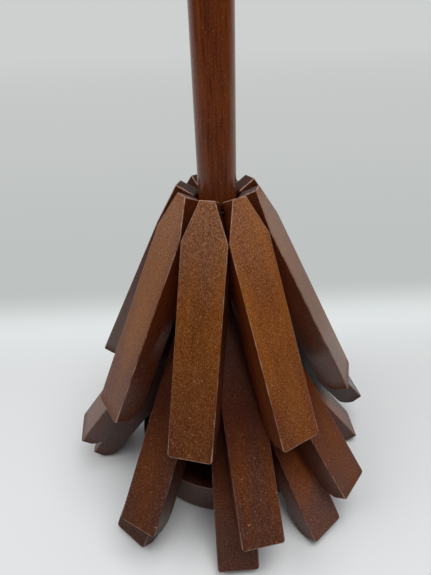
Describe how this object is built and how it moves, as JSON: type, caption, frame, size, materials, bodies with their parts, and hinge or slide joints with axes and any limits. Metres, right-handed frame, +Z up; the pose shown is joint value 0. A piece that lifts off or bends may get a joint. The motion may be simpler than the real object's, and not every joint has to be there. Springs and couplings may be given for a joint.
{
  "type": "folding mug tree",
  "caption": "Folding wooden mug tree: a round post on a disc base, with tiers of stout bars that hang round it like a skirt and swing up level to carry mugs.",
  "frame": {"origin": "on the surface it stands on, under the axis of the post", "axes": "+Z up along the post, -Y towards the viewer of the picture, +X to the viewer's right"},
  "size_m": [0.2226, 0.2222, 0.345],
  "materials": {
    "stained_wood": "red-brown stain under satin lacquer",
    "steel": "bright drawn steel",
    "felt": "dark felt"
  },
  "bodies": {
    "stand": {"post": "stained_wood", "base": "stained_wood", "base_screw": "steel", "base_pad": "felt", "upper_collar": "stained_wood", "upper_collar_pin": "steel", "middle_collar": "stained_wood", "middle_collar_pin": "steel", "lower_collar": "stained_wood", "lower_collar_pin": "steel"},
    "upper_tier": {"upper_hinge_ring": "steel"},
    "upper_bar_1": {"upper_bar_1": "stained_wood"},
    "upper_bar_2": {"upper_bar_2": "stained_wood"},
    "upper_bar_3": {"upper_bar_3": "stained_wood"},
    "upper_bar_4": {"upper_bar_4": "stained_wood"},
    "upper_bar_5": {"upper_bar_5": "stained_wood"},
    "upper_bar_6": {"upper_bar_6": "stained_wood"},
    "upper_bar_7": {"upper_bar_7": "stained_wood"},
    "upper_bar_8": {"upper_bar_8": "stained_wood"},
    "middle_tier": {"middle_hinge_ring": "steel"},
    "middle_bar_1": {"middle_bar_1": "stained_wood"},
    "middle_bar_2": {"middle_bar_2": "stained_wood"},
    "middle_bar_3": {"middle_bar_3": "stained_wood"},
    "middle_bar_4": {"middle_bar_4": "stained_wood"},
    "middle_bar_5": {"middle_bar_5": "stained_wood"},
    "middle_bar_6": {"middle_bar_6": "stained_wood"},
    "middle_bar_7": {"middle_bar_7": "stained_wood"},
    "middle_bar_8": {"middle_bar_8": "stained_wood"},
    "lower_tier": {"lower_hinge_ring": "steel"},
    "lower_bar_1": {"lower_bar_1": "stained_wood"},
    "lower_bar_2": {"lower_bar_2": "stained_wood"},
    "lower_bar_3": {"lower_bar_3": "stained_wood"},
    "lower_bar_4": {"lower_bar_4": "stained_wood"},
    "lower_bar_5": {"lower_bar_5": "stained_wood"},
    "lower_bar_6": {"lower_bar_6": "stained_wood"},
    "lower_bar_7": {"lower_bar_7": "stained_wood"},
    "lower_bar_8": {"lower_bar_8": "stained_wood"}
  },
  "joints": [
    {"name": "upper_tier_turn", "type": "hinge", "parent": "stand", "child": "upper_tier", "pos_m": [0, 0, 0.21199], "axis": [0, 0, 1], "continuous": true},
    {"name": "upper_bar_1_lift", "type": "hinge", "parent": "upper_tier", "child": "upper_bar_1", "pos_m": [-0.00433, -0.01685, 0.21199], "axis": [-0.9686, 0.2487, 0], "range_deg": [0, 63.1]},
    {"name": "upper_bar_2_lift", "type": "hinge", "parent": "upper_tier", "child": "upper_bar_2", "pos_m": [0.00846, -0.0152, 0.21199], "axis": [-0.8738, -0.4863, 0], "range_deg": [0, 63.1]},
    {"name": "upper_bar_3_lift", "type": "hinge", "parent": "upper_tier", "child": "upper_bar_3", "pos_m": [0.01668, -0.00494, 0.21199], "axis": [-0.284, -0.9588, 0], "range_deg": [0, 63.1]},
    {"name": "upper_bar_4_lift", "type": "hinge", "parent": "upper_tier", "child": "upper_bar_4", "pos_m": [0.01477, 0.0092, 0.21199], "axis": [0.5284, -0.849, 0], "range_deg": [0, 63.1]},
    {"name": "upper_bar_5_lift", "type": "hinge", "parent": "upper_tier", "child": "upper_bar_5", "pos_m": [0.00433, 0.01685, 0.21199], "axis": [0.9686, -0.2487, 0], "range_deg": [0, 63.1]},
    {"name": "upper_bar_6_lift", "type": "hinge", "parent": "upper_tier", "child": "upper_bar_6", "pos_m": [-0.00846, 0.0152, 0.21199], "axis": [0.8738, 0.4863, 0], "range_deg": [0, 63.1]},
    {"name": "upper_bar_7_lift", "type": "hinge", "parent": "upper_tier", "child": "upper_bar_7", "pos_m": [-0.01668, 0.00494, 0.21199], "axis": [0.284, 0.9588, 0], "range_deg": [0, 63.1]},
    {"name": "upper_bar_8_lift", "type": "hinge", "parent": "upper_tier", "child": "upper_bar_8", "pos_m": [-0.01477, -0.0092, 0.21199], "axis": [-0.5284, 0.849, 0], "range_deg": [0, 63.1]},
    {"name": "middle_tier_turn", "type": "hinge", "parent": "stand", "child": "middle_tier", "pos_m": [0, 0, 0.14253], "axis": [0, 0, 1], "continuous": true},
    {"name": "middle_bar_1_lift", "type": "hinge", "parent": "middle_tier", "child": "middle_bar_1", "pos_m": [0.00302, -0.01714, 0.14253], "axis": [-0.9848, -0.1736, 0], "range_deg": [0, 52.2]},
    {"name": "middle_bar_2_lift", "type": "hinge", "parent": "middle_tier", "child": "middle_bar_2", "pos_m": [0.01313, -0.01141, 0.14253], "axis": [-0.6561, -0.7547, 0], "range_deg": [0, 52.2]},
    {"name": "middle_bar_3_lift", "type": "hinge", "parent": "middle_tier", "child": "middle_bar_3", "pos_m": [0.01722, 0.00251, 0.14253], "axis": [0.1444, -0.9895, 0], "range_deg": [0, 52.2]},
    {"name": "middle_bar_4_lift", "type": "hinge", "parent": "middle_tier", "child": "middle_bar_4", "pos_m": [0.00912, 0.01482, 0.14253], "axis": [0.8517, -0.524, 0], "range_deg": [0, 52.2]},
    {"name": "middle_bar_5_lift", "type": "hinge", "parent": "middle_tier", "child": "middle_bar_5", "pos_m": [-0.00302, 0.01714, 0.14253], "axis": [0.9848, 0.1736, 0], "range_deg": [0, 52.2]},
    {"name": "middle_bar_6_lift", "type": "hinge", "parent": "middle_tier", "child": "middle_bar_6", "pos_m": [-0.01313, 0.01141, 0.14253], "axis": [0.6561, 0.7547, 0], "range_deg": [0, 52.2]},
    {"name": "middle_bar_7_lift", "type": "hinge", "parent": "middle_tier", "child": "middle_bar_7", "pos_m": [-0.01722, -0.00251, 0.14253], "axis": [-0.1444, 0.9895, 0], "range_deg": [0, 52.2]},
    {"name": "middle_bar_8_lift", "type": "hinge", "parent": "middle_tier", "child": "middle_bar_8", "pos_m": [-0.00912, -0.01482, 0.14253], "axis": [-0.8517, 0.524, 0], "range_deg": [0, 52.2]},
    {"name": "lower_tier_turn", "type": "hinge", "parent": "stand", "child": "lower_tier", "pos_m": [0, 0, 0.11369], "axis": [0, 0, 1], "continuous": true},
    {"name": "lower_bar_1_lift", "type": "hinge", "parent": "lower_tier", "child": "lower_bar_1", "pos_m": [0.00067, -0.01739, 0.11369], "axis": [-0.9993, -0.0384, 0], "range_deg": [0, 53.9]},
    {"name": "lower_bar_2_lift", "type": "hinge", "parent": "lower_tier", "child": "lower_bar_2", "pos_m": [0.01076, -0.01367, 0.11369], "axis": [-0.7859, -0.6184, 0], "range_deg": [0, 53.9]},
    {"name": "lower_bar_3_lift", "type": "hinge", "parent": "lower_tier", "child": "lower_bar_3", "pos_m": [0.0174, 0.0004, 0.11369], "axis": [0.0227, -0.9997, 0], "range_deg": [0, 53.9]},
    {"name": "lower_bar_4_lift", "type": "hinge", "parent": "lower_tier", "child": "lower_bar_4", "pos_m": [0.01104, 0.01345, 0.11369], "axis": [0.7727, -0.6347, 0], "range_deg": [0, 53.9]},
    {"name": "lower_bar_5_lift", "type": "hinge", "parent": "lower_tier", "child": "lower_bar_5", "pos_m": [-0.00067, 0.01739, 0.11369], "axis": [0.9993, 0.0384, 0], "range_deg": [0, 53.9]},
    {"name": "lower_bar_6_lift", "type": "hinge", "parent": "lower_tier", "child": "lower_bar_6", "pos_m": [-0.01076, 0.01367, 0.11369], "axis": [0.7859, 0.6184, 0], "range_deg": [0, 53.9]},
    {"name": "lower_bar_7_lift", "type": "hinge", "parent": "lower_tier", "child": "lower_bar_7", "pos_m": [-0.0174, -0.0004, 0.11369], "axis": [-0.0227, 0.9997, 0], "range_deg": [0, 53.9]},
    {"name": "lower_bar_8_lift", "type": "hinge", "parent": "lower_tier", "child": "lower_bar_8", "pos_m": [-0.01104, -0.01345, 0.11369], "axis": [-0.7727, 0.6347, 0], "range_deg": [0, 53.9]}
  ],
  "couplings": [
    {"joint": "upper_bar_2_lift", "follows": "upper_bar_1_lift", "ratio": 1},
    {"joint": "upper_bar_3_lift", "follows": "upper_bar_1_lift", "ratio": 1},
    {"joint": "upper_bar_4_lift", "follows": "upper_bar_1_lift", "ratio": 1},
    {"joint": "upper_bar_5_lift", "follows": "upper_bar_1_lift", "ratio": 1},
    {"joint": "upper_bar_6_lift", "follows": "upper_bar_1_lift", "ratio": 1},
    {"joint": "upper_bar_7_lift", "follows": "upper_bar_1_lift", "ratio": 1},
    {"joint": "upper_bar_8_lift", "follows": "upper_bar_1_lift", "ratio": 1},
    {"joint": "middle_bar_1_lift", "follows": "upper_bar_1_lift", "ratio": 0.8272},
    {"joint": "middle_bar_2_lift", "follows": "upper_bar_1_lift", "ratio": 0.8272},
    {"joint": "middle_bar_3_lift", "follows": "upper_bar_1_lift", "ratio": 0.8272},
    {"joint": "middle_bar_4_lift", "follows": "upper_bar_1_lift", "ratio": 0.8272},
    {"joint": "middle_bar_5_lift", "follows": "upper_bar_1_lift", "ratio": 0.8272},
    {"joint": "middle_bar_6_lift", "follows": "upper_bar_1_lift", "ratio": 0.8272},
    {"joint": "middle_bar_7_lift", "follows": "upper_bar_1_lift", "ratio": 0.8272},
    {"joint": "middle_bar_8_lift", "follows": "upper_bar_1_lift", "ratio": 0.8272},
    {"joint": "lower_bar_1_lift", "follows": "upper_bar_1_lift", "ratio": 0.8541},
    {"joint": "lower_bar_2_lift", "follows": "upper_bar_1_lift", "ratio": 0.8541},
    {"joint": "lower_bar_3_lift", "follows": "upper_bar_1_lift", "ratio": 0.8541},
    {"joint": "lower_bar_4_lift", "follows": "upper_bar_1_lift", "ratio": 0.8541},
    {"joint": "lower_bar_5_lift", "follows": "upper_bar_1_lift", "ratio": 0.8541},
    {"joint": "lower_bar_6_lift", "follows": "upper_bar_1_lift", "ratio": 0.8541},
    {"joint": "lower_bar_7_lift", "follows": "upper_bar_1_lift", "ratio": 0.8541},
    {"joint": "lower_bar_8_lift", "follows": "upper_bar_1_lift", "ratio": 0.8541}
  ]
}
